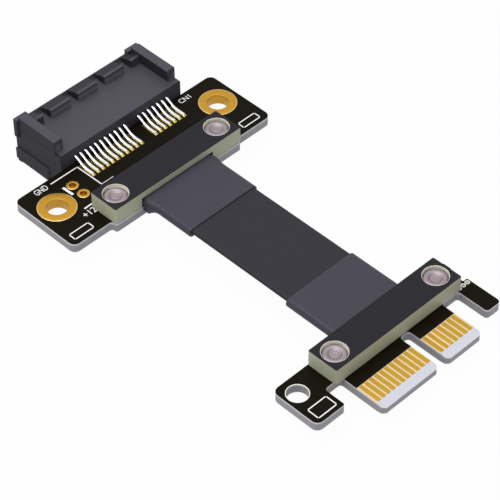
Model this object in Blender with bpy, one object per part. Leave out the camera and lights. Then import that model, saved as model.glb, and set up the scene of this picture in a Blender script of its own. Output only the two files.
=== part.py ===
"""A short flat extension cable for an expansion card: a card-edge socket on one small board, a ribbon
in two wraps, and a second board whose gold fingers plug into a slot.

Metres, +Z up. X runs along the cable from the socket's mating face to the plug's tip, Y runs across it,
and the origin is the centre of the bottom of the bounding box.
"""

import math

import bmesh
import bpy
from mathutils import Vector

# Shared clearances and mesh settings
SEAT_GAP = 0.00005
RUNNING_GAP = 0.0001
CUT_OVERRUN = 0.001
JOIN_DEPTH = 0.0002
MERGE_DISTANCE = 0.0000001
SHARP_ANGLE = math.radians(35)
FILLET_STEPS = 5

# Both boards
BOARD_THICKNESS = 0.0016
COPPER_STEP = 0.00005
BOARD_CORNER_RADIUS = 0.0011

# The card edge: contacts at one pitch, counted away from the key on its two sides
PIN_PITCH = 0.001
KEY_TO_PIN = 0.0015
LONG_ROW_PINS = 11
SHORT_ROW_PINS = 7

# The cable and its clamps
CABLE_SPAN = 0.03965
CABLE_CENTRE_Y = -0.00037
CABLE_WIDTH = 0.0132
CABLE_THICKNESS = 0.00085
CABLE_BOTTOM = 0.00065
ROUND_EDGE_SHARE = 0.48
CABLE_EMBED = 0.0031
CONDUCTOR_PITCH = 0.0009
CONDUCTOR_COUNT = 14
CONDUCTOR_WIDTH = 0.00045
CONDUCTOR_THICKNESS = 0.00015
CONDUCTOR_DROP_RUN = 0.0005
CONDUCTOR_FOOT = 0.0006

WRAP_REACH = 0.00985
WRAP_EMBED = 0.0028
WRAP_WIDTH = 0.01405
WRAP_TOP = 0.0017
WRAP_BOTTOM = 0.00005
WRAP_ROOT_START = 0.0001
WRAP_ROOT_SWELL = 0.0003
WRAP_ROOT_DEPTH = 0.0007
WRAP_ROOT_LENGTH = 0.0011
WRAP_ROOT_FADE = 0.002
WRAP_ROOT_LIP = 0.0001
WRAP_ROOT_LOW_RADIUS = 0.0003
WRAP_FADE_STEPS = 5
EDGE_STEPS = 3

PLATE_WIDTH = 0.00555
PLATE_LENGTH = 0.02595
PLATE_HEIGHT = 0.00285
PLATE_CORNER_RADIUS = 0.00025
CHANNEL_DEPTH = 0.0048
CHANNEL_SIDE_GAP = 0.0003
CHANNEL_ROOF_GAP = 0.00008

RIVET_END_INSET = 0.002525
RIVET_SHANK = 0.0024
RIVET_HEAD = 0.0039
RIVET_HEAD_HEIGHT = 0.0006
RIVET_HEAD_ROUND = 0.00025
RIVET_DISH = 0.0021
RIVET_DISH_DEPTH = 0.0008
RIVET_FOOT = 0.0036
RIVET_FOOT_HEIGHT = 0.00045
RIVET_SEGMENTS = 28
COUNTERBORE = 0.00405
COUNTERBORE_DEPTH = 0.0013

# The socket: housing, contacts and board
HOUSING_DEPTH = 0.01045
HOUSING_LENGTH = 0.025
HOUSING_HEIGHT = 0.0074
HOUSING_CORNER_RADIUS = 0.0003
SOCKET_KEY_Y = 0.0034
KEY_TO_HOUSING_CENTRE = 0.0019
FLANGE_DEPTH = 0.0008
FLANGE_OUTSET = 0.0003
FLANGE_EAR_RISE = 0.00135
FLANGE_EAR_LENGTH = 0.0022
FLANGE_RIM_RISE = 0.0005
FLANGE_RIM_FLAT = 0.0002
FLANGE_NOTCH_TOP = 0.0016
FLANGE_NOTCH_BOTTOM = -0.00085
FLANGE_FOOT_LIFT = 0.0008
LEDGE_DEPTH = 0.0074
BAR_WIDTH = 0.0016
BAR_RISE = 0.00195
BAR_START = 0.0009
BAR_END = 0.00925
BAR_CORNER_RADIUS = 0.0002
LAND_COUNT = 5
LAND_LENGTH = 0.00405
LAND_GAP = 0.0015
LAND_DEPTH = 0.00285
LAND_FLAT = 0.0005
LAND_RISE = 0.0014
LAND_MOUTH_RISE = 0.0006
SLOT_HEIGHT = 0.00185
SLOT_DEPTH = 0.008
SLOT_LONG_SIDE = 0.0123
SLOT_SHORT_SIDE = 0.0083
SLOT_KEY_RIB = 0.0017
SLOT_LEAD_IN = 0.00035
GROOVE_START = 0.001
GROOVE_FLOOR = 0.0006
GROOVE_SPRING_DEPTH = 0.003

CONTACT_WIDTH = 0.0005
CONTACT_THICKNESS = 0.00022
CONTACT_STEM_HEIGHT = 0.0021
CONTACT_STEM_LEAD = 0.00025
CONTACT_BEND_INSET = 0.00025
CONTACT_TAIL_LENGTH = 0.0043
CONTACT_FLAT_LENGTH = 0.0017
CONTACT_TOUCH_X = 0.0022
CONTACT_TOUCH_HEIGHT = 0.0008
CONTACT_TIP_X = 0.00125
CONTACT_TIP_HEIGHT = 0.0013
CONTACT_BEND_STEPS = 4
CONTACT_BEAM_STEPS = 3

SOCKET_BOARD_WIDTH = 0.041
SOCKET_BOARD_DEPTH = 0.0132
SOCKET_TONGUE_REACH = 0.00135
SOCKET_STEP_FILLET = 0.0005
SOCKET_TONGUE_CORNER = 0.0004
PAD_LENGTH = 0.0033
PAD_INSET = 0.001
PAD_WIDTH = 0.00062
MOUNTING_BORE = 0.0034
MOUNTING_RING = 0.00615
MOUNTING_INSET = 0.0055
MOUNTING_END_INSET = 0.00375
RING_SEGMENTS = 36
EYELET_BORE = 0.001053
EYELET_RING = 0.00194805
EYELET_GAP_SHARE = 0.2302
EYELET_INSET = 0.00355
EYELET_PITCH = 0.0025
EYELET_SEGMENTS = 20
BARREL_WALL = 0.00008

# The plug board
PLUG_LENGTH = 0.0132
PLUG_KEY_Y = 0.0008
PLUG_KEY_NOTCH = 0.0019
PLUG_KEY_NOTCH_X = 0.0056
PLUG_KEY_RADIUS = 0.0006
TONGUE_SIDE_MARGIN = 0.00065
TONGUE_CHAMFER = 0.0005
TIP_BEVEL_LENGTH = 0.00145
TIP_BEVEL_DROP = 0.00025
FINGER_LENGTH = 0.0037
FINGER_WIDTH = 0.00068
FINGER_TIP_INSET = 0.0015
NOTCH_FILLET = 0.0005
LEFT_TAB_Y = -0.0197
LEFT_TAB_WIDTH = 0.0051
LEFT_TAB_END = 0.0088
LEFT_TAB_INNER_RADIUS = 0.0003
LEFT_NOTCH_X = 0.0049
LEFT_HOLE = 0.00335
LEFT_HOLE_END_INSET = 0.0019
RIGHT_NOTCH_X = 0.0054
RIGHT_TAB_Y = 0.01545
RIGHT_TAB_WIDTH = 0.0029
RIGHT_TAB_START = 0.00455
RIGHT_TAB_END = 0.0107
RIGHT_TAB_RADIUS = 0.0006
RIGHT_NECK_STEP = 0.00085
RIGHT_NECK_RADIUS = 0.0002
RIGHT_NUB_STEP = 0.00015
RIGHT_NUB_END = 0.0017
BREAK_HOLE = 0.0006
BREAK_HOLE_COUNT = 3
BREAK_HOLE_PITCH = 0.00088
BREAK_HOLE_X = 0.0051
BORE_SEGMENTS = 28
SMALL_SEGMENTS = 14

# Stations along X, from the mating face to the tip, with the whole length centred on the origin
OVERALL_LENGTH = (
    HOUSING_DEPTH + SEAT_GAP + SOCKET_BOARD_DEPTH + SOCKET_TONGUE_REACH + CABLE_SPAN + PLUG_LENGTH
)
HOUSING_FACE_X = -OVERALL_LENGTH / 2
SOCKET_BACK_X = HOUSING_FACE_X + HOUSING_DEPTH + SEAT_GAP
SOCKET_FRONT_X = SOCKET_BACK_X + SOCKET_BOARD_DEPTH + SOCKET_TONGUE_REACH
PLUG_BACK_X = SOCKET_FRONT_X + CABLE_SPAN

# Heights: the housing stands on the ground and holds the boards at its mid-plane
CARD_PLANE_Z = HOUSING_HEIGHT / 2
BOARD_TOP_Z = CARD_PLANE_Z + BOARD_THICKNESS / 2

# The bore for a rivet in board and plate, and places across the cable
BOARD_BORE = RIVET_SHANK + 2 * RUNNING_GAP
RIVET_SPACING = PLATE_LENGTH - 2 * RIVET_END_INSET
MOUNTING_SPACING = SOCKET_BOARD_WIDTH - 2 * MOUNTING_END_INSET
HOUSING_LEFT = -KEY_TO_HOUSING_CENTRE - HOUSING_LENGTH / 2
HOUSING_RIGHT = -KEY_TO_HOUSING_CENTRE + HOUSING_LENGTH / 2

# The eyelets stand between the left mounting ring and the first pad, and share out the room left there
FIRST_PAD_EDGE = SOCKET_KEY_Y - KEY_TO_PIN - (LONG_ROW_PINS - 1) * PIN_PITCH - PAD_WIDTH / 2
LEFT_RING_EDGE = -MOUNTING_SPACING / 2 + MOUNTING_RING / 2
EYELET_ROOM = FIRST_PAD_EDGE - LEFT_RING_EDGE - EYELET_RING
EYELET_Y = LEFT_RING_EDGE + EYELET_RING / 2 + EYELET_GAP_SHARE * EYELET_ROOM


def clear_scene():
    """Removes every object that the file opened with."""
    for obj in list(bpy.data.objects):
        bpy.data.objects.remove(obj, do_unlink=True)


def srgb(code):
    """Linear colour of a six-digit sRGB code."""
    shares = [int(code[place : place + 2], 16) / 255 for place in (0, 2, 4)]
    return [s / 12.92 if s <= 0.04045 else ((s + 0.055) / 1.055) ** 2.4 for s in shares]


def material(name, code, roughness, metallic=0.0):
    """A plain surface of one colour."""
    made = bpy.data.materials.new(name)
    made.use_nodes = True
    shader = made.node_tree.nodes["Principled BSDF"]
    shader.inputs["Base Color"].default_value = (*srgb(code), 1.0)
    shader.inputs["Roughness"].default_value = roughness
    shader.inputs["Metallic"].default_value = metallic
    made.diffuse_color = (*srgb(code), 1.0)
    return made


def new_object(name, bm, place):
    """An object made of a bmesh, with its origin at a place."""
    bmesh.ops.recalc_face_normals(bm, faces=bm.faces)
    mesh = bpy.data.meshes.new(name)
    bm.to_mesh(mesh)
    bm.free()
    obj = bpy.data.objects.new(name, mesh)
    obj.location = place
    bpy.context.collection.objects.link(obj)
    return obj


def piece(name, bm, place, surface, round_piece=False):
    """One sub-part with its material; a round one is shaded smooth."""
    obj = new_object(name, bm, place)
    obj.data.materials.append(surface)
    if round_piece:
        obj.data.shade_smooth()
        obj.data.set_sharp_from_angle(angle=SHARP_ANGLE)
    return obj


def apply_tool(owner, name, bm, operation):
    """Adds a Boolean to a piece, its tool drawn in the piece's own frame and left out of the part."""
    tool = new_object(f"{owner.name}_{name}", bm, (0, 0, 0))
    tool.parent = owner
    tool.hide_render = True
    tool.display_type = "WIRE"
    boolean = owner.modifiers.new(name, "BOOLEAN")
    boolean.operation = operation
    boolean.solver = "EXACT"
    boolean.object = tool


def rounded(corners):
    """Outline through corners of x, y and radius, each radius drawn as a tangent arc."""
    outline = []
    for index, (x, y, radius) in enumerate(corners):
        corner = Vector((x, y))
        if not radius:
            outline.append(corner)
            continue
        back = (Vector(corners[index - 1][:2]) - corner).normalized()
        ahead = (Vector(corners[(index + 1) % len(corners)][:2]) - corner).normalized()
        half = back.angle(ahead) / 2
        centre = corner + (back + ahead).normalized() * (radius / math.sin(half))
        start = (corner + back * (radius / math.tan(half)) - centre).normalized()
        end = (corner + ahead * (radius / math.tan(half)) - centre).normalized()
        for step in range(FILLET_STEPS + 1):
            outline.append(centre + start.slerp(end, step / FILLET_STEPS) * radius)
    return outline


def rectangle(left, right, low, high, radius=0.0):
    """Outline of a rectangle with equal corner radii."""
    return rounded([(left, low, radius), (right, low, radius), (right, high, radius), (left, high, radius)])


def prism(outline, start, end, axis="Z", bm=None):
    """Solid of a flat outline extruded from start to end along an axis.

    The outline is in y, z for X, in x, z for Y and in x, y for Z. With a bmesh it is added to it.
    """
    bm = bm or bmesh.new()
    spread = {
        "X": lambda u, v: (start, u, v),
        "Y": lambda u, v: (u, start, v),
        "Z": lambda u, v: (u, v, start),
    }[axis]
    face = bm.faces.new([bm.verts.new(spread(u, v)) for u, v in outline])
    travel = Vector([end - start if name == axis else 0.0 for name in "XYZ"])
    grown = bmesh.ops.extrude_face_region(bm, geom=[face])["geom"]
    moved = [item for item in grown if isinstance(item, bmesh.types.BMVert)]
    bmesh.ops.translate(bm, vec=travel, verts=moved)
    return bm


def cylinder(x, y, diameter, low, high, segments, bm=None):
    """Upright cylinder at x, y; with a bmesh it is added to it."""
    circle = [
        (
            x + diameter / 2 * math.cos(2 * math.pi * step / segments),
            y + diameter / 2 * math.sin(2 * math.pi * step / segments),
        )
        for step in range(segments)
    ]
    return prism(circle, low, high, bm=bm)


def turned(profile, segments, tube):
    """Solid of a profile of radius and height turned about Z: a ring if tube, else closed on the axis."""
    bm = bmesh.new()
    verts = [bm.verts.new((radius, 0.0, height)) for radius, height in profile]
    ends = verts[1:] + verts[:1] if tube else verts[1:]
    edges = [bm.edges.new(pair) for pair in zip(verts, ends)]
    bmesh.ops.spin(
        bm,
        geom=verts + edges,
        cent=(0, 0, 0),
        axis=(0, 0, 1),
        angle=2 * math.pi,
        steps=segments,
        use_merge=True,
    )
    bmesh.ops.remove_doubles(bm, verts=bm.verts, dist=MERGE_DISTANCE)
    return bm


def loft(rings, closed=False):
    """Skin over rings of equal point counts, capped at both ends or closed back on the first ring."""
    bm = bmesh.new()
    loops = [[bm.verts.new(point) for point in ring] for ring in rings]
    pairs = list(zip(loops, loops[1:] + loops[:1])) if closed else list(zip(loops, loops[1:]))
    for first, second in pairs:
        for index in range(len(first)):
            following = (index + 1) % len(first)
            bm.faces.new((first[index], first[following], second[following], second[index]))
    if not closed:
        bm.faces.new(loops[0])
        bm.faces.new(loops[-1])
    return bm


def strip_outline(path, thickness):
    """Outline of a strip of one thickness bent along a path of x and z."""
    upper = []
    lower = []
    for index, point in enumerate(path):
        before = path[max(index - 1, 0)]
        after = path[min(index + 1, len(path) - 1)]
        along = Vector((after[0] - before[0], after[1] - before[1])).normalized()
        side = Vector((-along.y, along.x)) * (thickness / 2)
        upper.append(Vector(point) + side)
        lower.append(Vector(point) - side)
    return upper + lower[::-1]


def eased(start, end, steps):
    """Points of an S-shaped bend between two points of x and z, without the first."""
    made = []
    for step in range(1, steps + 1):
        share = step / steps
        rise_share = (1 - math.cos(math.pi * share)) / 2
        made.append((start[0] + (end[0] - start[0]) * share, start[1] + (end[1] - start[1]) * rise_share))
    return made


def pin_offsets():
    """Distance of each contact from the key, the long row first."""
    long_row = [-KEY_TO_PIN - step * PIN_PITCH for step in reversed(range(LONG_ROW_PINS))]
    short_row = [KEY_TO_PIN + step * PIN_PITCH for step in range(SHORT_ROW_PINS)]
    return long_row + short_row


def contact_path():
    """Centreline of an upper contact, x from the mating face and z from the card plane.

    It runs from the tail's end on the board, up the bend, through the rear wall and down the beam to the
    touching point, then turns up at its tip.
    """
    rear = HOUSING_DEPTH + SEAT_GAP
    seat = BOARD_THICKNESS / 2 + COPPER_STEP + SEAT_GAP + CONTACT_THICKNESS / 2
    tail_end = (rear + CONTACT_TAIL_LENGTH, seat)
    bend_foot = (rear + CONTACT_TAIL_LENGTH - CONTACT_FLAT_LENGTH, seat)
    bend_head = (HOUSING_DEPTH - CONTACT_BEND_INSET, CONTACT_STEM_HEIGHT)
    stem_end = (SLOT_DEPTH + CONTACT_STEM_LEAD, CONTACT_STEM_HEIGHT)
    touch = (CONTACT_TOUCH_X, CONTACT_TOUCH_HEIGHT)
    tip = (CONTACT_TIP_X, CONTACT_TIP_HEIGHT)
    path = [tail_end, bend_foot]
    path += eased(bend_foot, bend_head, CONTACT_BEND_STEPS)
    path += [stem_end]
    path += eased(stem_end, touch, CONTACT_BEAM_STEPS)
    path += [tip]
    return path


def groove_outline():
    """Side view of an upper contact's groove, x from the mating face and z from the card plane."""
    rear = HOUSING_DEPTH + CUT_OVERRUN
    half_stem = CONTACT_THICKNESS / 2 + RUNNING_GAP
    roof = CONTACT_STEM_HEIGHT + half_stem
    sill = CONTACT_STEM_HEIGHT - half_stem
    return [
        (GROOVE_START, GROOVE_FLOOR),
        (SLOT_DEPTH - JOIN_DEPTH, GROOVE_FLOOR),
        (SLOT_DEPTH - JOIN_DEPTH, sill),
        (rear, sill),
        (rear, roof),
        (GROOVE_SPRING_DEPTH, roof),
        (GROOVE_START, CONTACT_TIP_HEIGHT + half_stem),
    ]


def mirrored(outline):
    """The same side view below the card plane."""
    return [(x, -z) for x, z in reversed(outline)]


def make_housing(plastic):
    """The moulded socket housing: x from its mating face, y from the key, z from the card plane."""
    top = HOUSING_HEIGHT / 2
    left = HOUSING_LEFT
    right = HOUSING_RIGHT
    body = prism(
        rectangle(left, right, -top, top, HOUSING_CORNER_RADIUS), FLANGE_DEPTH / 2, HOUSING_DEPTH, "X"
    )
    place = (HOUSING_FACE_X, SOCKET_KEY_Y, CARD_PLANE_Z)
    housing = piece("slot_housing", body, place, plastic)

    wide_left = left - FLANGE_OUTSET
    wide_right = right + FLANGE_OUTSET
    foot = -top + FLANGE_FOOT_LIFT
    flange = [
        (left, -top),
        (right, -top),
        (right, foot),
        (wide_right, foot),
        (wide_right, FLANGE_NOTCH_BOTTOM),
        (right, FLANGE_NOTCH_BOTTOM),
        (right, FLANGE_NOTCH_TOP),
        (wide_right, FLANGE_NOTCH_TOP),
        (wide_right, top + FLANGE_EAR_RISE),
        (right - FLANGE_EAR_LENGTH, top + FLANGE_EAR_RISE),
        (right - FLANGE_EAR_LENGTH, top - JOIN_DEPTH),
        (left + FLANGE_EAR_LENGTH, top - JOIN_DEPTH),
        (left + FLANGE_EAR_LENGTH, top + FLANGE_EAR_RISE),
        (wide_left, top + FLANGE_EAR_RISE),
        (wide_left, FLANGE_NOTCH_TOP),
        (left, FLANGE_NOTCH_TOP),
        (left, FLANGE_NOTCH_BOTTOM),
        (wide_left, FLANGE_NOTCH_BOTTOM),
        (wide_left, foot),
        (left, foot),
    ]
    apply_tool(housing, "flange", prism(flange, 0.0, FLANGE_DEPTH, "X"), "UNION")

    rim = [
        (0.0, top - 2 * JOIN_DEPTH),
        (FLANGE_DEPTH, top - 2 * JOIN_DEPTH),
        (FLANGE_DEPTH, top),
        (FLANGE_RIM_FLAT, top + FLANGE_RIM_RISE),
        (0.0, top + FLANGE_RIM_RISE),
    ]
    rim_reach = FLANGE_EAR_LENGTH - JOIN_DEPTH
    apply_tool(housing, "rim", prism(rim, left + rim_reach, right - rim_reach, "Y"), "UNION")

    for name, outer, inner in (
        ("left_ledge", wide_left, left + JOIN_DEPTH),
        ("right_ledge", wide_right, right - JOIN_DEPTH),
    ):
        ledge = rectangle(FLANGE_DEPTH / 2, LEDGE_DEPTH, foot, FLANGE_NOTCH_BOTTOM)
        apply_tool(housing, name, prism(ledge, outer, inner, "Y"), "UNION")

    for name, outer, inner in (
        ("left_bar", left, left + BAR_WIDTH),
        ("right_bar", right, right - BAR_WIDTH),
    ):
        bar = rounded(
            [
                (FLANGE_DEPTH / 2, top - JOIN_DEPTH, 0.0),
                (BAR_END, top - JOIN_DEPTH, 0.0),
                (BAR_END, top + BAR_RISE, BAR_CORNER_RADIUS),
                (BAR_START, top + BAR_RISE, BAR_CORNER_RADIUS),
                (BAR_START, top + FLANGE_EAR_RISE - JOIN_DEPTH, 0.0),
                (FLANGE_DEPTH / 2, top + FLANGE_EAR_RISE - JOIN_DEPTH, 0.0),
            ]
        )
        apply_tool(housing, name, prism(bar, outer, inner, "Y"), "UNION")

    land = [
        (FLANGE_RIM_FLAT / 2, top - JOIN_DEPTH),
        (LAND_DEPTH, top - JOIN_DEPTH),
        (LAND_DEPTH, top + LAND_RISE),
        (LAND_DEPTH - LAND_FLAT, top + LAND_RISE),
        (FLANGE_RIM_FLAT / 2, top + LAND_MOUTH_RISE),
    ]
    middle = (left + right) / 2
    for step in range(LAND_COUNT):
        centre = middle + (step - (LAND_COUNT - 1) / 2) * (LAND_LENGTH + LAND_GAP)
        low_end = max(centre - LAND_LENGTH / 2, left + BAR_WIDTH - JOIN_DEPTH)
        high_end = min(centre + LAND_LENGTH / 2, right - BAR_WIDTH + JOIN_DEPTH)
        apply_tool(housing, f"land_{step + 1}", prism(land, low_end, high_end, "Y"), "UNION")

    lead_in = SLOT_LEAD_IN + CUT_OVERRUN
    for name, low, low_lead_in, high, high_lead_in in (
        ("long_slot", -SLOT_LONG_SIDE, lead_in, -SLOT_KEY_RIB / 2, 0.0),
        ("short_slot", SLOT_KEY_RIB / 2, 0.0, SLOT_SHORT_SIDE, lead_in),
    ):
        mouth = rectangle(
            low - low_lead_in, high + high_lead_in, -SLOT_HEIGHT / 2 - lead_in, SLOT_HEIGHT / 2 + lead_in
        )
        throat = rectangle(low, high, -SLOT_HEIGHT / 2, SLOT_HEIGHT / 2)
        stations = ((-CUT_OVERRUN, mouth), (SLOT_LEAD_IN, throat), (SLOT_DEPTH, throat))
        rings = [[(x, y, z) for y, z in section] for x, section in stations]
        apply_tool(housing, name, loft(rings), "DIFFERENCE")

    grooves = bmesh.new()
    width = CONTACT_WIDTH + RUNNING_GAP
    for offset in pin_offsets():
        for outline in (groove_outline(), mirrored(groove_outline())):
            prism(outline, offset - width / 2, offset + width / 2, "Y", grooves)
    apply_tool(housing, "grooves", grooves, "DIFFERENCE")


def make_contacts(metal):
    """Every contact of both rows, each from the mating face, the key and the card plane."""
    outline = strip_outline(contact_path(), CONTACT_THICKNESS)
    for number, offset in enumerate(pin_offsets(), 1):
        for row, shape in (("top", outline), ("bottom", mirrored(outline))):
            strip = prism(shape, -CONTACT_WIDTH / 2, CONTACT_WIDTH / 2, "Y")
            place = (HOUSING_FACE_X, SOCKET_KEY_Y + offset, CARD_PLANE_Z)
            piece(f"slot_contact_{row}_{number:02d}", strip, place, metal)


def raised_copper(places, start, end, width):
    """Pads on both faces of a board: each from start to end in x, at its place in y."""
    bm = bmesh.new()
    for y in places:
        outline = rectangle(start, end, y - width / 2, y + width / 2)
        prism(outline, -JOIN_DEPTH, COPPER_STEP, bm=bm)
        prism(outline, -BOARD_THICKNESS - COPPER_STEP, -BOARD_THICKNESS + JOIN_DEPTH, bm=bm)
    return bm


def bores(places, segments):
    """Cutter of upright holes through a board, each of x, y and diameter."""
    bm = bmesh.new()
    for x, y, diameter in places:
        cylinder(x, y, diameter, -BOARD_THICKNESS - CUT_OVERRUN, CUT_OVERRUN, segments, bm)
    return bm


def make_socket_board(laminate):
    """The socket's board: x from its back edge, y from the middle line, z from its top face."""
    half = SOCKET_BOARD_WIDTH / 2
    tongue = PLATE_LENGTH / 2
    front = SOCKET_BOARD_DEPTH + SOCKET_TONGUE_REACH
    outline = rounded(
        [
            (0.0, -half, BOARD_CORNER_RADIUS),
            (SOCKET_BOARD_DEPTH, -half, BOARD_CORNER_RADIUS),
            (SOCKET_BOARD_DEPTH, -tongue, SOCKET_STEP_FILLET),
            (front, -tongue, SOCKET_TONGUE_CORNER),
            (front, tongue, SOCKET_TONGUE_CORNER),
            (SOCKET_BOARD_DEPTH, tongue, SOCKET_STEP_FILLET),
            (SOCKET_BOARD_DEPTH, half, BOARD_CORNER_RADIUS),
            (0.0, half, BOARD_CORNER_RADIUS),
        ]
    )
    place = (SOCKET_BACK_X, 0.0, BOARD_TOP_Z)
    board = piece("socket_board", prism(outline, -BOARD_THICKNESS, 0.0), place, laminate)
    pads = [SOCKET_KEY_Y + offset for offset in pin_offsets()]
    copper = raised_copper(pads, PAD_INSET, PAD_INSET + PAD_LENGTH, PAD_WIDTH)
    apply_tool(board, "pads", copper, "UNION")
    ring_bore = MOUNTING_BORE + 2 * (BARREL_WALL + SEAT_GAP)
    eyelet_bore = EYELET_BORE + 2 * (BARREL_WALL + SEAT_GAP)
    rivet_x = front - PLATE_WIDTH / 2
    places = [(MOUNTING_INSET, side * MOUNTING_SPACING / 2, ring_bore) for side in (-1, 1)]
    places += [(rivet_x, side * RIVET_SPACING / 2, BOARD_BORE) for side in (-1, 1)]
    apply_tool(board, "bores", bores(places, BORE_SEGMENTS), "DIFFERENCE")
    small = [(EYELET_INSET + step * EYELET_PITCH, EYELET_Y, eyelet_bore) for step in (0, 1)]
    apply_tool(board, "eyelet_bores", bores(small, EYELET_SEGMENTS), "DIFFERENCE")


def plated_ring(bore, outer, segments):
    """A plated hole's metal, z from the board's top: a barrel with a flat collar on each face."""
    inner = bore / 2
    barrel = inner + BARREL_WALL
    bottom = -BOARD_THICKNESS
    profile = [
        (inner, COPPER_STEP + SEAT_GAP),
        (outer / 2, COPPER_STEP + SEAT_GAP),
        (outer / 2, SEAT_GAP),
        (barrel, SEAT_GAP),
        (barrel, bottom - SEAT_GAP),
        (outer / 2, bottom - SEAT_GAP),
        (outer / 2, bottom - SEAT_GAP - COPPER_STEP),
        (inner, bottom - SEAT_GAP - COPPER_STEP),
    ]
    return turned(profile, segments, tube=True)


def make_plated_holes(gold):
    """The two mounting rings and the two header eyelets of the socket's board."""
    for side, name in ((-1, "left"), (1, "right")):
        ring = plated_ring(MOUNTING_BORE, MOUNTING_RING, RING_SEGMENTS)
        place = (SOCKET_BACK_X + MOUNTING_INSET, side * MOUNTING_SPACING / 2, BOARD_TOP_Z)
        piece(f"mounting_ring_{name}", ring, place, gold, round_piece=True)
    for step in (0, 1):
        eyelet = plated_ring(EYELET_BORE, EYELET_RING, EYELET_SEGMENTS)
        place = (SOCKET_BACK_X + EYELET_INSET + step * EYELET_PITCH, EYELET_Y, BOARD_TOP_Z)
        piece(f"header_eyelet_{step + 1}", eyelet, place, gold, round_piece=True)


def make_clamp(end, front_x, toward_cable, laminate, metal):
    """A clamp plate and its rivets: x from the plate's middle, y from the middle line, z from the board."""
    centre_x = front_x - toward_cable * PLATE_WIDTH / 2
    place = (centre_x, 0.0, BOARD_TOP_Z)
    half_width = PLATE_WIDTH / 2
    half_length = PLATE_LENGTH / 2
    top = SEAT_GAP + PLATE_HEIGHT
    outline = rectangle(-half_width, half_width, -half_length, half_length, PLATE_CORNER_RADIUS)
    plate = piece(f"{end}_clamp_plate", prism(outline, SEAT_GAP, top), place, laminate)

    mouth = toward_cable * (half_width + CUT_OVERRUN)
    blind = toward_cable * (half_width - CHANNEL_DEPTH)
    channel_half = WRAP_WIDTH / 2 + CHANNEL_SIDE_GAP
    channel = rectangle(
        CABLE_CENTRE_Y - channel_half,
        CABLE_CENTRE_Y + channel_half,
        SEAT_GAP - CUT_OVERRUN,
        WRAP_TOP + CHANNEL_ROOF_GAP,
    )
    channel_cut = prism(channel, min(mouth, blind), max(mouth, blind), "X")
    apply_tool(plate, "channel", channel_cut, "DIFFERENCE")

    through = bmesh.new()
    seats = bmesh.new()
    for side in (-1, 1):
        y = side * RIVET_SPACING / 2
        cylinder(0.0, y, BOARD_BORE, SEAT_GAP - CUT_OVERRUN, top + CUT_OVERRUN, BORE_SEGMENTS, through)
        floor = top - COUNTERBORE_DEPTH
        cylinder(0.0, y, COUNTERBORE, floor, top + CUT_OVERRUN, BORE_SEGMENTS, seats)
    apply_tool(plate, "counterbores", seats, "DIFFERENCE")
    apply_tool(plate, "rivet_bores", through, "DIFFERENCE")

    for side, name in ((-1, "left"), (1, "right")):
        rivet = turned(rivet_profile(), RIVET_SEGMENTS, tube=False)
        rivet_place = (centre_x, side * RIVET_SPACING / 2, BOARD_TOP_Z)
        piece(f"{end}_rivet_{name}", rivet, rivet_place, metal, round_piece=True)


def rivet_profile():
    """Radius and height of a rivet from its dish down to its foot, height from the board's top."""
    seat = SEAT_GAP + PLATE_HEIGHT - COUNTERBORE_DEPTH + SEAT_GAP
    head_top = seat + RIVET_HEAD_HEIGHT
    shoulder = RIVET_HEAD / 2 - RIVET_HEAD_ROUND
    foot_top = -BOARD_THICKNESS - SEAT_GAP
    foot = foot_top - RIVET_FOOT_HEIGHT
    return [
        (0.0, head_top - RIVET_DISH_DEPTH),
        (RIVET_DISH / 2 - RIVET_HEAD_ROUND, head_top - RIVET_DISH_DEPTH),
        (RIVET_DISH / 2, head_top - RIVET_HEAD_ROUND),
        (RIVET_DISH / 2 + RIVET_HEAD_ROUND, head_top),
        (shoulder, head_top),
        (RIVET_HEAD / 2, head_top - RIVET_HEAD_ROUND),
        (RIVET_HEAD / 2, seat),
        (RIVET_SHANK / 2, seat),
        (RIVET_SHANK / 2, foot_top),
        (RIVET_FOOT / 2, foot_top),
        (RIVET_FOOT / 2 - RIVET_HEAD_ROUND, foot),
        (0.0, foot),
    ]


def flat_section(half_width, low, high, low_radius, high_radius):
    """Outline in y and z of a flat bar with two lower and two upper corner radii, on the cable line."""
    corners = (
        (half_width - low_radius, low + low_radius, low_radius, -math.pi / 2),
        (half_width - high_radius, high - high_radius, high_radius, 0.0),
        (high_radius - half_width, high - high_radius, high_radius, math.pi / 2),
        (low_radius - half_width, low + low_radius, low_radius, math.pi),
    )
    outline = []
    for y, z, radius, start in corners:
        for step in range(EDGE_STEPS + 1):
            angle = start + math.pi / 2 * step / EDGE_STEPS
            outline.append((CABLE_CENTRE_Y + y + radius * math.cos(angle), z + radius * math.sin(angle)))
    return outline


def round_section(half_width, low, high):
    """Outline in y and z of a flat bar with fully rounded edges."""
    radius = ROUND_EDGE_SHARE * (high - low)
    return flat_section(half_width, low, high, radius, radius)


def root_stations():
    """Distance from the plate and swelling of a wrap's section where its root is folded thicker."""
    root_end = WRAP_ROOT_START + WRAP_ROOT_LIP
    fade_start = WRAP_ROOT_START + WRAP_ROOT_LENGTH
    stations = [(WRAP_ROOT_START, 0.0), (root_end, 1.0), (fade_start, 1.0)]
    for step in range(1, WRAP_FADE_STEPS + 1):
        share = step / WRAP_FADE_STEPS
        stations.append((fade_start + WRAP_ROOT_FADE * share, (1 - share) ** 2))
    return stations


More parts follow.
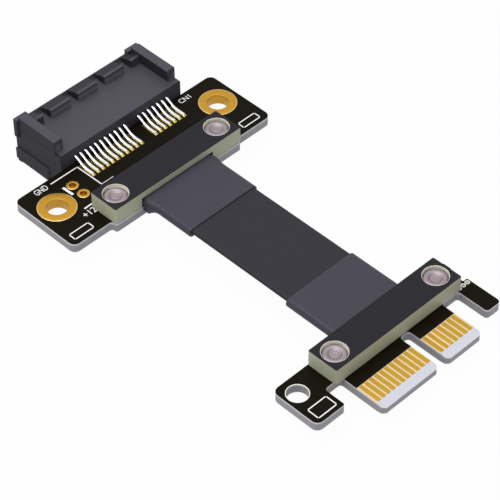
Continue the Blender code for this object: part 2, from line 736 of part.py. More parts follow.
def make_wrap(end, front_x, toward_cable, root, sleeve):
    """A sleeve round the ribbon, x towards the cable from the clamp's face, z from the board's top."""
    edge_radius = ROUND_EDGE_SHARE * (WRAP_TOP - WRAP_BOTTOM)
    outer = []
    for x, swell in [(-WRAP_EMBED, 0.0), *root, (WRAP_REACH, 0.0)]:
        half_width = WRAP_WIDTH / 2 + WRAP_ROOT_SWELL * swell
        low = WRAP_BOTTOM - WRAP_ROOT_DEPTH * swell
        low_radius = edge_radius + (WRAP_ROOT_LOW_RADIUS - edge_radius) * swell
        section = flat_section(half_width, low, WRAP_TOP, low_radius, edge_radius)
        outer.append([(toward_cable * x, y, z) for y, z in section])
    inner = []
    bore_half = CABLE_WIDTH / 2 + SEAT_GAP
    bore_low = CABLE_BOTTOM - SEAT_GAP
    bore_high = CABLE_BOTTOM + CABLE_THICKNESS + SEAT_GAP
    bore = round_section(bore_half, bore_low, bore_high)
    for x in (WRAP_REACH, -WRAP_EMBED):
        inner.append([(toward_cable * x, y, z) for y, z in bore])
    place = (front_x, 0.0, BOARD_TOP_Z)
    piece(f"{end}_end_wrap", loft(outer + inner, closed=True), place, sleeve, round_piece=True)


def make_cable(jacket):
    """The flat ribbon between the boards with its bared conductors bent down at both ends."""
    half_span = CABLE_SPAN / 2 + CABLE_EMBED
    place = (SOCKET_FRONT_X + CABLE_SPAN / 2, 0.0, BOARD_TOP_Z)
    section = round_section(CABLE_WIDTH / 2, CABLE_BOTTOM, CABLE_BOTTOM + CABLE_THICKNESS)
    ribbon = prism(section, -half_span, half_span, "X")
    cable = piece("ribbon_cable", ribbon, place, jacket)
    conductors = bmesh.new()
    middle = CABLE_BOTTOM + CABLE_THICKNESS / 2
    foot = RUNNING_GAP + CONDUCTOR_THICKNESS / 2
    for toward in (-1, 1):
        path = [
            (toward * (half_span - CONDUCTOR_FOOT), middle),
            (toward * (half_span + CONDUCTOR_THICKNESS), middle),
            (toward * (half_span + CONDUCTOR_THICKNESS + CONDUCTOR_DROP_RUN), foot),
            (toward * (half_span + CONDUCTOR_THICKNESS + CONDUCTOR_DROP_RUN + CONDUCTOR_FOOT), foot),
        ]
        outline = strip_outline(path, CONDUCTOR_THICKNESS)
        for step in range(CONDUCTOR_COUNT):
            y = CABLE_CENTRE_Y + (step - (CONDUCTOR_COUNT - 1) / 2) * CONDUCTOR_PITCH
            prism(outline, y - CONDUCTOR_WIDTH / 2, y + CONDUCTOR_WIDTH / 2, "Y", conductors)
    apply_tool(cable, "conductors", conductors, "UNION")


def plug_outline():
    """Outline of the plug board, x from its back edge and y from the middle line."""
    long_row = (LONG_ROW_PINS - 1) * PIN_PITCH
    short_row = (SHORT_ROW_PINS - 1) * PIN_PITCH
    tongue_left = PLUG_KEY_Y - KEY_TO_PIN - long_row - TONGUE_SIDE_MARGIN
    tongue_right = PLUG_KEY_Y + KEY_TO_PIN + short_row + TONGUE_SIDE_MARGIN
    key_left = PLUG_KEY_Y - PLUG_KEY_NOTCH / 2
    key_right = PLUG_KEY_Y + PLUG_KEY_NOTCH / 2
    shoulder = PLUG_LENGTH - TONGUE_CHAMFER
    left_inner = LEFT_TAB_Y + LEFT_TAB_WIDTH
    right_inner = RIGHT_TAB_Y - RIGHT_TAB_WIDTH
    right_neck = RIGHT_TAB_Y - RIGHT_NECK_STEP
    right_nub = RIGHT_TAB_Y - RIGHT_NUB_STEP
    return rounded(
        [
            (0.0, LEFT_TAB_Y, BOARD_CORNER_RADIUS),
            (LEFT_TAB_END, LEFT_TAB_Y, BOARD_CORNER_RADIUS),
            (LEFT_TAB_END, left_inner, LEFT_TAB_INNER_RADIUS),
            (LEFT_NOTCH_X, left_inner, NOTCH_FILLET),
            (LEFT_NOTCH_X, tongue_left, NOTCH_FILLET),
            (shoulder, tongue_left, 0.0),
            (PLUG_LENGTH, tongue_left + TONGUE_CHAMFER, 0.0),
            (PLUG_LENGTH, key_left - TONGUE_CHAMFER, 0.0),
            (shoulder, key_left, 0.0),
            (PLUG_KEY_NOTCH_X, key_left, PLUG_KEY_RADIUS),
            (PLUG_KEY_NOTCH_X, key_right, PLUG_KEY_RADIUS),
            (shoulder, key_right, 0.0),
            (PLUG_LENGTH, key_right + TONGUE_CHAMFER, 0.0),
            (PLUG_LENGTH, tongue_right - TONGUE_CHAMFER, 0.0),
            (shoulder, tongue_right, 0.0),
            (RIGHT_NOTCH_X, tongue_right, NOTCH_FILLET),
            (RIGHT_NOTCH_X, right_inner, NOTCH_FILLET),
            (RIGHT_TAB_END, right_inner, RIGHT_TAB_RADIUS),
            (RIGHT_TAB_END, RIGHT_TAB_Y, RIGHT_TAB_RADIUS),
            (RIGHT_TAB_START, RIGHT_TAB_Y, RIGHT_NECK_RADIUS),
            (RIGHT_TAB_START, right_neck, RIGHT_NECK_RADIUS),
            (RIGHT_NUB_END, right_neck, RIGHT_NECK_RADIUS),
            (RIGHT_NUB_END, right_nub, RIGHT_NECK_RADIUS),
            (0.0, right_nub, RIGHT_NECK_RADIUS),
        ]
    )


def make_plug_board(laminate):
    """The plug board with its fingers: x from its back edge, y from the middle line, z from its top."""
    place = (PLUG_BACK_X, 0.0, BOARD_TOP_Z)
    board = piece("plug_board", prism(plug_outline(), -BOARD_THICKNESS, 0.0), place, laminate)
    fingers = [PLUG_KEY_Y + offset for offset in pin_offsets()]
    end = PLUG_LENGTH - FINGER_TIP_INSET
    copper = raised_copper(fingers, end - FINGER_LENGTH, end, FINGER_WIDTH)
    apply_tool(board, "fingers", copper, "UNION")

    slope = TIP_BEVEL_DROP / TIP_BEVEL_LENGTH
    start = PLUG_LENGTH - TIP_BEVEL_LENGTH
    far = PLUG_LENGTH + CUT_OVERRUN
    reach = SOCKET_BOARD_WIDTH / 2
    for name, face, out in (("upper_bevel", 0.0, 1), ("lower_bevel", -BOARD_THICKNESS, -1)):
        wedge = [
            (start, face),
            (far, face - out * slope * (far - start)),
            (far, face + out * CUT_OVERRUN),
            (start, face + out * CUT_OVERRUN),
        ]
        apply_tool(board, name, prism(wedge, -reach, reach, "Y"), "DIFFERENCE")

    places = [(PLATE_WIDTH / 2, side * RIVET_SPACING / 2, BOARD_BORE) for side in (-1, 1)]
    places.append((PLATE_WIDTH / 2, LEFT_TAB_Y + LEFT_HOLE_END_INSET, LEFT_HOLE))
    apply_tool(board, "bores", bores(places, BORE_SEGMENTS), "DIFFERENCE")
    tab_middle = RIGHT_TAB_Y - RIGHT_TAB_WIDTH / 2
    small = [
        (BREAK_HOLE_X, tab_middle + (step - (BREAK_HOLE_COUNT - 1) / 2) * BREAK_HOLE_PITCH, BREAK_HOLE)
        for step in range(BREAK_HOLE_COUNT)
    ]
    apply_tool(board, "break_holes", bores(small, SMALL_SEGMENTS), "DIFFERENCE")


def main():
    """Builds every sub-part of the cable."""
    clear_scene()
    plastic = material("Housing plastic", "3A3E4B", 0.5)
    spring = material("Contact plating", "C9CAD0", 0.3, 1.0)
    laminate = material("Board laminate", "1C1812", 0.45)
    plate_laminate = material("Clamp plate laminate", "333236", 0.6)
    gold = material("Gold plating", "C99A3A", 0.3, 1.0)
    nickel = material("Rivet metal", "B9AEB0", 0.32, 1.0)
    sleeve = material("Wrap film", "4C4B54", 0.5)
    jacket = material("Ribbon jacket", "3B3A41", 0.6)

    make_housing(plastic)
    make_contacts(spring)
    make_socket_board(laminate)
    make_plated_holes(gold)
    make_clamp("socket", SOCKET_FRONT_X, 1, plate_laminate, nickel)
    make_clamp("plug", PLUG_BACK_X, -1, plate_laminate, nickel)
    make_wrap("socket", SOCKET_FRONT_X, 1, root_stations(), sleeve)
    make_wrap("plug", PLUG_BACK_X, -1, [], sleeve)
    make_cable(jacket)
    make_plug_board(laminate)


main()
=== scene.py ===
"""Dressed scene of a short flat extension cable: card-edge socket, ribbon in two wraps, finger board.

Metres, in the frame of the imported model: X runs from the socket's mating face to the plug's tip, Y across
the cable, Z up, and the ground is at 0. A piece's size written with MM is in metres, and one written as a
plain number is in millimetres.
"""

import math

import bmesh
import bpy
import numpy as np
from mathutils import Matrix, Vector


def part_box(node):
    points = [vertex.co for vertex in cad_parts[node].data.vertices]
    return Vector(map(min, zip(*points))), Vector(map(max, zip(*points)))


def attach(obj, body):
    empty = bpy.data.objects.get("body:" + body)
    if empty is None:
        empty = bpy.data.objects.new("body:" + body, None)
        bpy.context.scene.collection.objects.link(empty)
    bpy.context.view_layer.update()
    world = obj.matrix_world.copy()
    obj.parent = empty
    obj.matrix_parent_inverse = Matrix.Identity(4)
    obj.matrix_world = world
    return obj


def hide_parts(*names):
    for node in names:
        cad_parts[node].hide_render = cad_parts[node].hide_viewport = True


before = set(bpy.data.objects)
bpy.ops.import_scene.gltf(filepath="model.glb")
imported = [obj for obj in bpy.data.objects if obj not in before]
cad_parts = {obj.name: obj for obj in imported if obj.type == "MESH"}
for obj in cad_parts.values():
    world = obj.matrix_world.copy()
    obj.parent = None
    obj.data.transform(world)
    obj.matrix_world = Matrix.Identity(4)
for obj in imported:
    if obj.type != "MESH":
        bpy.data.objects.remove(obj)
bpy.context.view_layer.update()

MM = 0.001

# Thickness of the copper that stands out of the boards, and half that of a board without it
COPPER = 0.05 * MM
HALF_BOARD = 0.8

# Where the frame's pieces lie, read from their own boxes
BOARD_LOW, BOARD_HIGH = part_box("socket_board")
HOUSING_LOW, HOUSING_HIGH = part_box("slot_housing")
CABLE_LOW, CABLE_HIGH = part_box("ribbon_cable")
BOARD_TOP = BOARD_HIGH.z - COPPER
BOARD_BOTTOM = BOARD_LOW.z + COPPER
CARD_PLANE = (BOARD_TOP + BOARD_BOTTOM) / 2
BOARD_BACK = BOARD_LOW.x
BOARD_FRONT = BOARD_HIGH.x
PLUG_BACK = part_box("plug_board")[0].x

# The ribbon's middle line, and its underside, which lies this much over the boards
RIBBON_LIFT = 0.65
CABLE_Y = (CABLE_LOW.y + CABLE_HIGH.y) / 2 / MM
CABLE_BOTTOM = BOARD_TOP / MM + RIBBON_LIFT

# X and Y of the hole in the plug board's left tab
TAB_HOLE = (PLUG_BACK + 2.775 * MM, -17.8 * MM)

# How much further out three board edges stand than in the solids, and how much higher the rivet heads
OUTSET = 0.33

# How near a point counts as on a level or on an end face
ON_LEVEL = 0.01 * MM
ON_END = 0.02 * MM

# A face is level where its normal's z is over the first, and upright where it is under the second
LEVEL, UPRIGHT = 0.9, 0.5

ENDS = ("socket", "plug")
SIDES = ("left", "right")
# The upper row of contacts, the lower one, which is turned over about the card plane, and each row's numbers
ROWS = ((1, "top"), (-1, "bottom"))
CONTACT_NUMBERS = range(1, 19)

# Edges sharper than this stay sharp: on the copied solids, and on the new surfaces
SHARP_COPY = math.radians(35)
SHARP_SURFACE = math.radians(40)


# Surfaces


def shaded(name, mesh, sharp_angle):
    """Object of a mesh, smooth but for the edges sharper than an angle."""
    mesh.shade_smooth()
    mesh.set_sharp_from_angle(angle=sharp_angle)
    made = bpy.data.objects.new(name, mesh)
    bpy.context.scene.collection.objects.link(made)
    return made


def outward(name, mesh):
    """Object of a mesh whose doubles are merged and whose faces point outwards."""
    bm = bmesh.new()
    bm.from_mesh(mesh)
    bmesh.ops.remove_doubles(bm, verts=bm.verts, dist=0.0002 * MM)
    bmesh.ops.recalc_face_normals(bm, faces=bm.faces)
    bm.to_mesh(mesh)
    bm.free()
    return shaded(name, mesh, SHARP_SURFACE)


def sheet_of_points(name, points, around=False, along=False, caps=False):
    """Mesh object of a grid of points, rows by columns.

    Each cell of the grid is one quad. The columns close on themselves with around and the rows with
    along; caps fill the first and the last row with one face each.
    """
    rows, columns = points.shape[:2]
    index = np.arange(rows * columns).reshape(rows, columns)
    if around:
        index = np.hstack([index, index[:, :1]])
    if along:
        index = np.vstack([index, index[:1]])
    quads = np.stack([index[:-1, :-1], index[:-1, 1:], index[1:, 1:], index[1:, :-1]], -1)
    faces = quads.reshape(-1, 4).tolist()
    if caps:
        faces += [index[0, :columns][::-1].tolist(), index[-1, :columns].tolist()]
    mesh = bpy.data.meshes.new(name)
    mesh.from_pydata(points.reshape(-1, 3).tolist(), [], faces)
    return outward(name, mesh)


def joined(name, pieces):
    """One object of several, with their meshes put together."""
    corners = []
    faces = []
    for one in pieces:
        first = len(corners)
        corners += [tuple(v.co) for v in one.data.vertices]
        faces += [[first + v for v in face.vertices] for face in one.data.polygons]
        bpy.data.objects.remove(one)
    mesh = bpy.data.meshes.new(name)
    mesh.from_pydata(corners, [], faces)
    return outward(name, mesh)


def ring_of(profile, centre, count):
    """Grid of a profile of radius and height turned about an upright axis at centre.

    Each point is (radius cos t, radius sin t, height) with t from 0 to one turn.
    """
    turn = np.linspace(0, 2 * np.pi, count, endpoint=False)
    radius = profile[:, 0:1]
    height = np.repeat(profile[:, 1:2], count, axis=1)
    return np.stack([centre[0] + radius * np.cos(turn), centre[1] + radius * np.sin(turn), height], -1)


def smooth_path(points, count):
    """Points of a curve through given ones, by monotone cubic steps over the summed chord length."""
    points = np.asarray(points, float)
    chord = np.r_[0, np.cumsum(np.linalg.norm(np.diff(points, axis=0), axis=1))]
    place = np.linspace(0, chord[-1], count)
    made = np.empty((count, points.shape[1]))
    for axis in range(points.shape[1]):
        slope = np.diff(points[:, axis]) / np.diff(chord)
        lean = np.r_[slope[0], (slope[:-1] + slope[1:]) / 2, slope[-1]]
        lean[1:-1] = np.where(slope[:-1] * slope[1:] <= 0, 0, lean[1:-1])
        step = np.clip(np.searchsorted(chord, place, "right") - 1, 0, len(chord) - 2)
        width = chord[step + 1] - chord[step]
        t = (place - chord[step]) / width
        low, high = points[step, axis], points[step + 1, axis]
        made[:, axis] = (
            low * (1 + 2 * t) * (1 - t) ** 2
            + lean[step] * width * t * (1 - t) ** 2
            + high * t * t * (3 - 2 * t)
            - lean[step + 1] * width * t * t * (1 - t)
        )
    return made


def quarter_turn(path):
    """Unit direction a quarter turn on from a path of two coordinates, at each of its points."""
    run = np.gradient(path, axis=0)
    run /= np.linalg.norm(run, axis=1, keepdims=True)
    return np.stack([-run[:, 1], run[:, 0]], -1)


def rounded_bar(half_width, half_height, radius, steps):
    """Outline of a bar's section, side by height, each corner a quarter circle of a radius."""
    quarter = np.linspace(0, np.pi / 2, steps + 1)
    outline = []
    for turn, side, rise in ((0, 1, 1), (1, -1, 1), (2, -1, -1), (3, 1, -1)):
        angle = quarter + turn * np.pi / 2
        across = side * (half_width - radius) + radius * np.cos(angle)
        height = rise * (half_height - radius) + radius * np.sin(angle)
        outline.append(np.stack([across, height], -1))
    return np.concatenate(outline)


def flat_bar_section(half_width, low, high, low_radius, high_radius, steps=8):
    """Section of a flat bar, y by z, each corner a quarter circle, the lower two of a radius of their own."""
    quarter = np.linspace(0, np.pi / 2, steps + 1)
    parts = []
    for y, z, radius, start in (
        (half_width - low_radius, low + low_radius, low_radius, -np.pi / 2),
        (half_width - high_radius, high - high_radius, high_radius, 0.0),
        (high_radius - half_width, high - high_radius, high_radius, np.pi / 2),
        (low_radius - half_width, low + low_radius, low_radius, np.pi),
    ):
        angle = quarter + start
        parts.append(np.stack([y + radius * np.cos(angle), z + radius * np.sin(angle)], -1))
    return np.concatenate(parts)


def rounded_profile(corners, steps=5):
    """Profile through corners of radius, height and rounding, each rounded corner a quadratic arc.

    The corners are in millimetres and the profile is in metres.
    """
    corners = [np.array(corner, float) for corner in corners]
    made = []
    for place, corner in enumerate(corners):
        here, radius = corner[:2], corner[2]
        if radius == 0:
            made.append(here[None])
            continue
        before = corners[place - 1][:2] - here
        after = corners[(place + 1) % len(corners)][:2] - here
        start = here + before / np.linalg.norm(before) * radius
        end = here + after / np.linalg.norm(after) * radius
        t = np.linspace(0, 1, steps + 1)[:, None]
        made.append((1 - t) ** 2 * start + 2 * t * (1 - t) * here + t * t * end)
    return np.concatenate(made) * MM


def merged_copy(name, node, cuts=()):
    """Copy of a frame solid with its loose corners merged and its flat triangles joined to flat faces.

    Each cut is an x at which the faces are split, so that a finish can end there.
    """
    bm = bmesh.new()
    bm.from_mesh(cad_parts[node].data)
    bmesh.ops.remove_doubles(bm, verts=bm.verts, dist=0.001 * MM)
    bmesh.ops.dissolve_limit(bm, angle_limit=math.radians(0.3), verts=bm.verts, edges=bm.edges)
    for x in cuts:
        geometry = bm.verts[:] + bm.edges[:] + bm.faces[:]
        bmesh.ops.bisect_plane(bm, geom=geometry, plane_co=(x, 0, 0), plane_no=(1, 0, 0))
    mesh = bpy.data.meshes.new(name)
    bm.to_mesh(mesh)
    bm.free()
    return shaded(name, mesh, SHARP_COPY)


def move_points(piece, chosen, shift):
    """Moves the points of a merged copy for which chosen is true, by a shift in millimetres."""
    for vertex in piece.data.vertices:
        if chosen(vertex.co):
            vertex.co += Vector(shift) * MM


def soften_edges(piece, width, chosen):
    """Bevels the chosen sharp edges of a merged copy.

    chosen takes the middle of an edge and the two face normals beside it, and gives true or false.
    """
    mesh = piece.data
    bm = bmesh.new()
    bm.from_mesh(mesh)
    weight = np.zeros(len(bm.edges))
    for edge in bm.edges:
        if len(edge.link_faces) == 2 and edge.is_convex and edge.calc_face_angle() > SHARP_COPY:
            middle = (edge.verts[0].co + edge.verts[1].co) / 2
            first, second = (face.normal for face in edge.link_faces)
            weight[edge.index] = chosen(middle, first, second)
    bm.free()
    layer = mesh.attributes.new("bevel_weight_edge", "FLOAT", "EDGE")
    layer.data.foreach_set("value", weight)
    bevel = piece.modifiers.new("soft edges", "BEVEL")
    bevel.limit_method = "WEIGHT"
    bevel.width = width
    bevel.segments = 2
    bevel.use_clamp_overlap = True
    even = piece.modifiers.new("flat faces stay flat", "WEIGHTED_NORMAL")
    even.keep_sharp = True
    even.weight = 100


# Materials


def linear(code):
    """Linear colour of a six-digit sRGB code."""
    shares = np.array([int(code[place : place + 2], 16) for place in (0, 2, 4)]) / 255
    colour = np.where(shares <= 0.04045, shares / 12.92, ((shares + 0.055) / 1.055) ** 2.4)
    return (*colour.tolist(), 1.0)


def feed(tree, node, values):
    """Gives each named input of a node its value, or links it to another node's output."""
    for socket, value in values.items():
        if isinstance(value, bpy.types.NodeSocket):
            tree.links.new(value, node.inputs[socket])
        else:
            node.inputs[socket].default_value = value


def add(tree, kind, values, **settings):
    """Adds a node with its settings and the values of its inputs."""
    made = tree.nodes.new(kind)
    for setting, value in settings.items():
        setattr(made, setting, value)
    feed(tree, made, values)
    return made


def noise(tree, place, size, detail):
    """Clouds of one size, from 0 to 1, the finer ones in them counted by detail."""
    values = {"Vector": place, "Scale": 1 / size, "Detail": detail}
    return add(tree, "ShaderNodeTexNoise", values).outputs["Fac"]


def stretched(tree, place, shares):
    """Coordinates scaled by a share along each axis. A small share draws a pattern out along its axis."""
    return add(tree, "ShaderNodeMapping", {"Vector": place, "Scale": shares}).outputs["Vector"]


def blend(tree, share, first, second):
    """Colour that runs from first to second: a mix node's inputs 6 and 7, and its output 2."""
    return add(tree, "ShaderNodeMix", {"Factor": share, 6: first, 7: second}, data_type="RGBA").outputs[2]


def spread(tree, value, low, high, start=0.0, end=1.0):
    """Values between start and end set to lie between low and high."""
    values = {"Value": value, "From Min": start, "From Max": end, "To Min": low, "To Max": high}
    return add(tree, "ShaderNodeMapRange", values).outputs["Result"]


def relief(tree, height, strength, depth=0.02 * MM):
    """Normals of a surface that a height from 0 to 1 raises by up to a depth."""
    values = {"Height": height, "Strength": strength, "Distance": depth}
    return add(tree, "ShaderNodeBump", values).outputs["Normal"]


def reckon(tree, operation, *values):
    """Result of a calculation with values or outputs."""
    return add(tree, "ShaderNodeMath", dict(enumerate(values)), operation=operation).outputs[0]


def finish(name):
    """A new material: its tree, its shader and the object coordinates."""
    made = bpy.data.materials.new(name)
    made.use_nodes = True
    tree = made.node_tree
    shader = tree.nodes["Principled BSDF"]
    place = add(tree, "ShaderNodeTexCoord", {}).outputs["Object"]
    return made, tree, shader, place


def moulded_nylon(name, dark, light, roughness, gloss):
    """Glass filled nylon, injection moulded: dark blue-grey, satin, with a fine spark-eroded grain."""
    made, tree, shader, place = finish(name)
    # The eroded grain of the mould is about 0.05 mm, drawn at 0.18 mm so that it shows
    grain = noise(tree, place, 0.18 * MM, 3.0)
    # Slow flow marks of the melt, a few millimetres long
    flow = noise(tree, place, 4.0 * MM, 4.0)
    looks = {
        "Base Color": blend(tree, flow, linear(dark), linear(light)),
        "Roughness": spread(tree, grain, roughness, roughness + 0.14),
        "Normal": relief(tree, grain, 0.12),
        "IOR": 1.53,
        "Specular IOR Level": gloss,
    }
    feed(tree, shader, looks)
    return made


def plated(name, cloud, detail, first, second, roughness):
    """A plated metal whose colour and roughness vary a little in clouds of one size, each between two."""
    made, tree, shader, place = finish(name)
    grain = noise(tree, place, cloud, detail)
    looks = {
        "Base Color": blend(tree, grain, linear(first), linear(second)),
        "Roughness": spread(tree, grain, *roughness),
        "Metallic": 1.0,
    }
    feed(tree, shader, looks)
    return made


def tinned_spring():
    """Copper alloy strip, tin plated and formed: bright, with slow clouds of the plating."""
    return plated("tin plated spring strip", 0.8 * MM, 1.0, "EDECEF", "F6F5F7", (0.24, 0.32))


def gold_plate(name, bright, deep):
    """Copper with nickel and gold plating: warm, evenly satin, with a slight mottle of the plating."""
    return plated(name, 0.35 * MM, 3.0, bright, deep, (0.28, 0.42))


def rolled_nickel():
    """Nickel plated brass, rolled over: soft silver with a warm cast, dulled by the tool."""
    return plated("nickel plated rolled brass", 0.3 * MM, 4.0, "877B80", "988E91", (0.5, 0.58))


def solder_mask():
    """Black solder mask, screen printed and cured: satin and very slightly orange-peeled."""
    made, tree, shader, place = finish("cured black solder mask")
    # Levelling waves of the ink, about 0.6 mm
    peel = noise(tree, place, 0.6 * MM, 2.0)
    looks = {
        "Base Color": blend(tree, peel, linear("0F0C05"), linear("15120A")),
        "Normal": relief(tree, peel, 0.08),
        "Roughness": 0.38,
        "Specular IOR Level": 0.035,
    }
    feed(tree, shader, looks)
    return made


def glass_laminate(name, face, seam, ply, roughness, top_highlight=None):
    """Glass-epoxy laminate, routed: pale resin crossed by the darker ends of the glass plies.

    The last colour is a paler one that fades in just under the board's top: a painted highlight along the top
    of the sides.
    """
    made, tree, shader, place = finish(name)
    height = add(tree, "ShaderNodeSeparateXYZ", {"Vector": place}).outputs["Z"]
    # A sine wave of the height, one wave to a ply, which wavers by up to 3 radians as the cloth undulates
    waver = noise(tree, place, 1.2 * MM, 3.0)
    plies = reckon(tree, "MULTIPLY", height, 2 * math.pi / ply)
    wave = reckon(tree, "SINE", reckon(tree, "MULTIPLY_ADD", waver, 3.0, plies))
    share = spread(tree, wave, 0.1, 0.55, start=-1.0)
    colour = blend(tree, share, linear(face), linear(seam))
    if top_highlight:
        # A painted highlight along the top of the side: it fades in between 0.4 mm and 0.2 mm under the face
        painted_highlight_share = spread(tree, height, 0.0, 1.0, start=BOARD_TOP - 0.4 * MM, end=BOARD_TOP - 0.2 * MM)
        colour = blend(tree, painted_highlight_share, colour, linear(top_highlight))
    feed(tree, shader, {"Base Color": colour, "Roughness": roughness})
    return made


def bare_laminate(name, warp, weft):
    """Bare glass-epoxy, pressed: pale, milky, with the weave's faint check."""
    made, tree, shader, place = finish(name)
    # Glass yarns of 0.45 mm cross under the resin
    yarns = {"Vector": place, "Scale": 1 / (0.45 * MM), "Color1": linear(warp), "Color2": linear(weft)}
    weave = add(tree, "ShaderNodeTexChecker", yarns).outputs["Color"]
    feed(tree, shader, {"Base Color": weave, "Roughness": 0.42, "Specular IOR Level": 0.2})
    return made


def plate_mask():
    """Black mask over thick laminate: greyer than the boards' and more matt."""
    made, tree, shader, place = finish("matt black plate mask")
    cloud = noise(tree, place, 0.5 * MM, 5.0)
    looks = {
        "Base Color": blend(tree, cloud, linear("18171C"), linear("1E1D22")),
        "Normal": relief(tree, cloud, 0.1),
        "Roughness": 0.55,
        "Specular IOR Level": 0.14,
    }
    feed(tree, shader, looks)
    return made


def wrapped_film():
    """Polyester film tape, wound: grey-violet, satin, with faint tension lines across the cable."""
    made, tree, shader, place = finish("wound polyester film")
    lines = noise(tree, stretched(tree, place, (1.0, 0.12, 1.0)), 0.5 * MM, 3.0)
    looks = {
        "Base Color": blend(tree, lines, linear("363540"), linear("3B3A44")),
        "Normal": relief(tree, lines, 0.1, 0.03 * MM),
        "Roughness": 0.42,
        "Specular IOR Level": 0.2,
    }
    feed(tree, shader, looks)
    return made


def flexible_jacket():
    """Soft vinyl jacket, extruded: black, matt, with faint lines along the cable."""
    made, tree, shader, place = finish("extruded soft vinyl")
    lines = noise(tree, stretched(tree, place, (0.06, 1.0, 1.0)), 0.3 * MM, 4.0)
    colour = blend(tree, lines, linear("201F27"), linear("26252C"))
    feed(tree, shader, {"Base Color": colour, "Roughness": 0.55, "Specular IOR Level": 0.2})
    return made


def printed_ink():
    """White epoxy ink, screen printed: matt and slightly clouded."""
    made, tree, shader, place = finish("white screen ink")
    cloud = noise(tree, place, 0.2 * MM, 2.0)
    colour = blend(tree, cloud, linear("DEDEDE"), linear("F2F2F2"))
    feed(tree, shader, {"Base Color": colour, "Roughness": 0.6})
    return made


BOARD_PLY = 0.4 * MM
PLATE_PLY = 0.36 * MM

NYLON = moulded_nylon("moulded glass filled nylon", "36353F", "3B3A44", roughness=0.42, gloss=0.32)
# A darker, duller copy of the nylon for the lands' slopes: painted shade
SHADED_LAND_NYLON = moulded_nylon("nylon with painted shade on the sloping lands", "24232A", "28272E", roughness=0.48, gloss=0.1)
# A darker copy of the nylon for the faces towards -Y: painted shade
SHADED_END_NYLON = moulded_nylon("nylon with painted shade on the -Y end", "222129", "28272F", roughness=0.5, gloss=0.15)
TIN = tinned_spring()
RING_GOLD = gold_plate("immersion gold", "C29436", "B88A2C")
FINGER_GOLD = gold_plate("hard gold", "BE993A", "B69130")
PAD_GOLD = gold_plate("soldered gold", "C8B26C", "B39D58")
SOLDER = gold_plate("solder over gold", "BCA964", "A89652")
BARREL_GOLD = gold_plate("gold on the drilled barrel", "CC9C3C", "AC8030")
# Paler gold on the collar's sloped outer edge
GOLD_RIM = gold_plate("paler edge of the gold ring", "CFBA86", "C4AE7A")
MASK = solder_mask()
# The board's sides get a painted highlight just under the top, in the last colour
BOARD_EDGE = glass_laminate("routed board edge", "97969C", "828187", BOARD_PLY, 0.5, "CFCDD4")
PLATE_EDGE = glass_laminate("routed plate edge", "B3B59E", "9FA18A", PLATE_PLY, 0.55)
# A much paler copy of the plate's laminate for the counterbore walls: painted light
LIT_BORE_LAMINATE = glass_laminate("plate laminate with painted light in the counterbores", "EEECDA", "DAD8C2", PLATE_PLY, 0.5)
RIM = glass_laminate("pale drilled rim", "ECEADE", "DEDBCC", PLATE_PLY, 0.5)
BARE = bare_laminate("bare glass-epoxy tip", "C5C6CF", "C1C2CB")
GAP = bare_laminate("bare glass-epoxy beside gold", "DCC4A2", "D8C09E")
PLATE_MASK = plate_mask()
NICKEL = rolled_nickel()
FILM = wrapped_film()
VINYL = flexible_jacket()
INK = printed_ink()


def dress(piece, slot, *materials):
    """Gives a piece its materials and its body; the slot is not used."""
    piece.data.materials.clear()
    for one in materials:
        piece.data.materials.append(one)
    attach(piece, "root")


def sort_faces(piece, kind_of):
    """Sets each face's material by a function of its middle and its normal."""
    index = [kind_of(face.center, face.normal) for face in piece.data.polygons]
    piece.data.polygons.foreach_set("material_index", index)


# Camera

# Where it stands, and its turns in degrees: azimuth from -Y, height over the ground and roll
CAMERA_PLACE = Vector((178.82, -173.54, 248.44)) * MM
CAMERA_TURNS = (45.6747, 44.9315, -0.5127)
# Focal length and picture width in pixels, and how near and how far it sees in metres
FOCAL_LENGTH, PICTURE_WIDTH = 2351.77, 500
SENSOR_WIDTH = 36
NEAREST, FURTHEST = 0.01, 20


def photo_camera():
    """Camera at the photograph's place: it looks back along its own Z, turned by azimuth, height, roll."""
    azimuth, height, roll = np.radians(CAMERA_TURNS)
    level = math.cos(height)
    back = np.array([math.sin(azimuth) * level, -math.cos(azimuth) * level, math.sin(height)])
    right = np.cross([0, 0, 1], back)
    right /= np.linalg.norm(right)
    upward = np.cross(back, right)
    level_x = math.cos(roll) * right + math.sin(roll) * upward
    level_y = -math.sin(roll) * right + math.cos(roll) * upward
    turned = Matrix([level_x, level_y, back]).transposed().to_4x4()
    turned.translation = CAMERA_PLACE
    lens = bpy.data.cameras.new("photo camera")
    lens.sensor_fit = "HORIZONTAL"
    lens.sensor_width = SENSOR_WIDTH
    lens.lens = SENSOR_WIDTH * FOCAL_LENGTH / PICTURE_WIDTH
    lens.clip_start = NEAREST
    lens.clip_end = FURTHEST
    camera = bpy.data.objects.new("photo camera", lens)
    camera.matrix_world = turned
    bpy.context.scene.collection.objects.link(camera)
    bpy.context.scene.camera = camera


photo_camera()


# Housing


